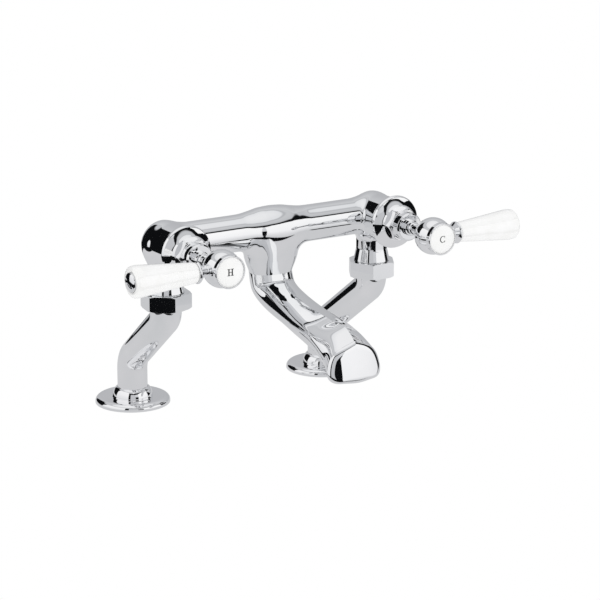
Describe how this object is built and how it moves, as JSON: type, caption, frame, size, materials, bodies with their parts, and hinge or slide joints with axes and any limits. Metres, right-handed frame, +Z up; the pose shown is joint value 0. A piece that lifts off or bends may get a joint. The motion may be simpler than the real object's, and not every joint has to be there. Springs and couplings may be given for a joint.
{
  "type": "bath filler tap",
  "caption": "Deck-mounted bath filler tap: a chrome mixer bar on cranked legs, with lever valves, ceramic grips and a broad ridged spout over the bath.",
  "frame": {"origin": "on the deck plane, midway between the axes of the two threaded tails", "axes": "+X towards the cold valve, along the body tube; -Y towards the spout and the bath; +Z up from the deck"},
  "size_m": [0.329, 0.218, 0.2177],
  "materials": {
    "chrome_plated_brass": "polished",
    "white_glazed_ceramic": "gloss",
    "disc_ceramic": "satin",
    "plain_brass": "satin",
    "spring_steel": "satin",
    "black_rubber": "matte"
  },
  "bodies": {
    "root": {"mixer_body": "chrome_plated_brass", "spout": "chrome_plated_brass", "hot_bonnet": "chrome_plated_brass", "hot_gland_nut": "chrome_plated_brass", "hot_cartridge_housing": "plain_brass", "hot_seat_seal": "black_rubber", "hot_fixed_disc": "disc_ceramic", "hot_union_nut": "chrome_plated_brass", "hot_union_washer": "black_rubber", "cold_bonnet": "chrome_plated_brass", "cold_gland_nut": "chrome_plated_brass", "cold_cartridge_housing": "plain_brass", "cold_seat_seal": "black_rubber", "cold_fixed_disc": "disc_ceramic", "cold_union_nut": "chrome_plated_brass", "cold_union_washer": "black_rubber"},
    "hot_lever": {"hot_moving_disc": "disc_ceramic", "hot_spindle": "chrome_plated_brass", "hot_o_rings": "black_rubber", "hot_circlip": "spring_steel", "hot_lever_hub": "chrome_plated_brass", "hot_retaining_screw": "spring_steel", "hot_index_ring": "chrome_plated_brass", "hot_index_disc": "white_glazed_ceramic", "hot_lever_stem": "chrome_plated_brass", "hot_grip": "white_glazed_ceramic", "hot_tie_rod": "spring_steel", "hot_end_cap": "chrome_plated_brass"},
    "hot_leg": {"hot_leg_tube": "chrome_plated_brass", "hot_deck_foot": "chrome_plated_brass", "hot_deck_gasket": "black_rubber", "hot_back_washer": "plain_brass", "hot_back_nut": "plain_brass"},
    "cold_lever": {"cold_moving_disc": "disc_ceramic", "cold_spindle": "chrome_plated_brass", "cold_o_rings": "black_rubber", "cold_circlip": "spring_steel", "cold_lever_hub": "chrome_plated_brass", "cold_retaining_screw": "spring_steel", "cold_index_ring": "chrome_plated_brass", "cold_index_disc": "white_glazed_ceramic", "cold_lever_stem": "chrome_plated_brass", "cold_grip": "white_glazed_ceramic", "cold_tie_rod": "spring_steel", "cold_end_cap": "chrome_plated_brass"},
    "cold_leg": {"cold_leg_tube": "chrome_plated_brass", "cold_deck_foot": "chrome_plated_brass", "cold_deck_gasket": "black_rubber", "cold_back_washer": "plain_brass", "cold_back_nut": "plain_brass"}
  },
  "joints": [
    {"name": "hot_lever_turn", "type": "hinge", "parent": "root", "child": "hot_lever", "pos_m": [-0.09, -0.06445, 0.1394], "axis": [0, -1, 0], "range_deg": [0, 90]},
    {"name": "hot_leg_swing", "type": "hinge", "parent": "root", "child": "hot_leg", "pos_m": [-0.09, -0.06445, 0.091], "axis": [0, 0, 1], "range_deg": [-18.9, 26.6]},
    {"name": "cold_lever_turn", "type": "hinge", "parent": "root", "child": "cold_lever", "pos_m": [0.09, -0.06445, 0.1394], "axis": [0, 1, 0], "range_deg": [0, 90]},
    {"name": "cold_leg_swing", "type": "hinge", "parent": "root", "child": "cold_leg", "pos_m": [0.09, -0.06445, 0.091], "axis": [0, 0, 1], "range_deg": [-26.6, 18.9]}
  ]
}
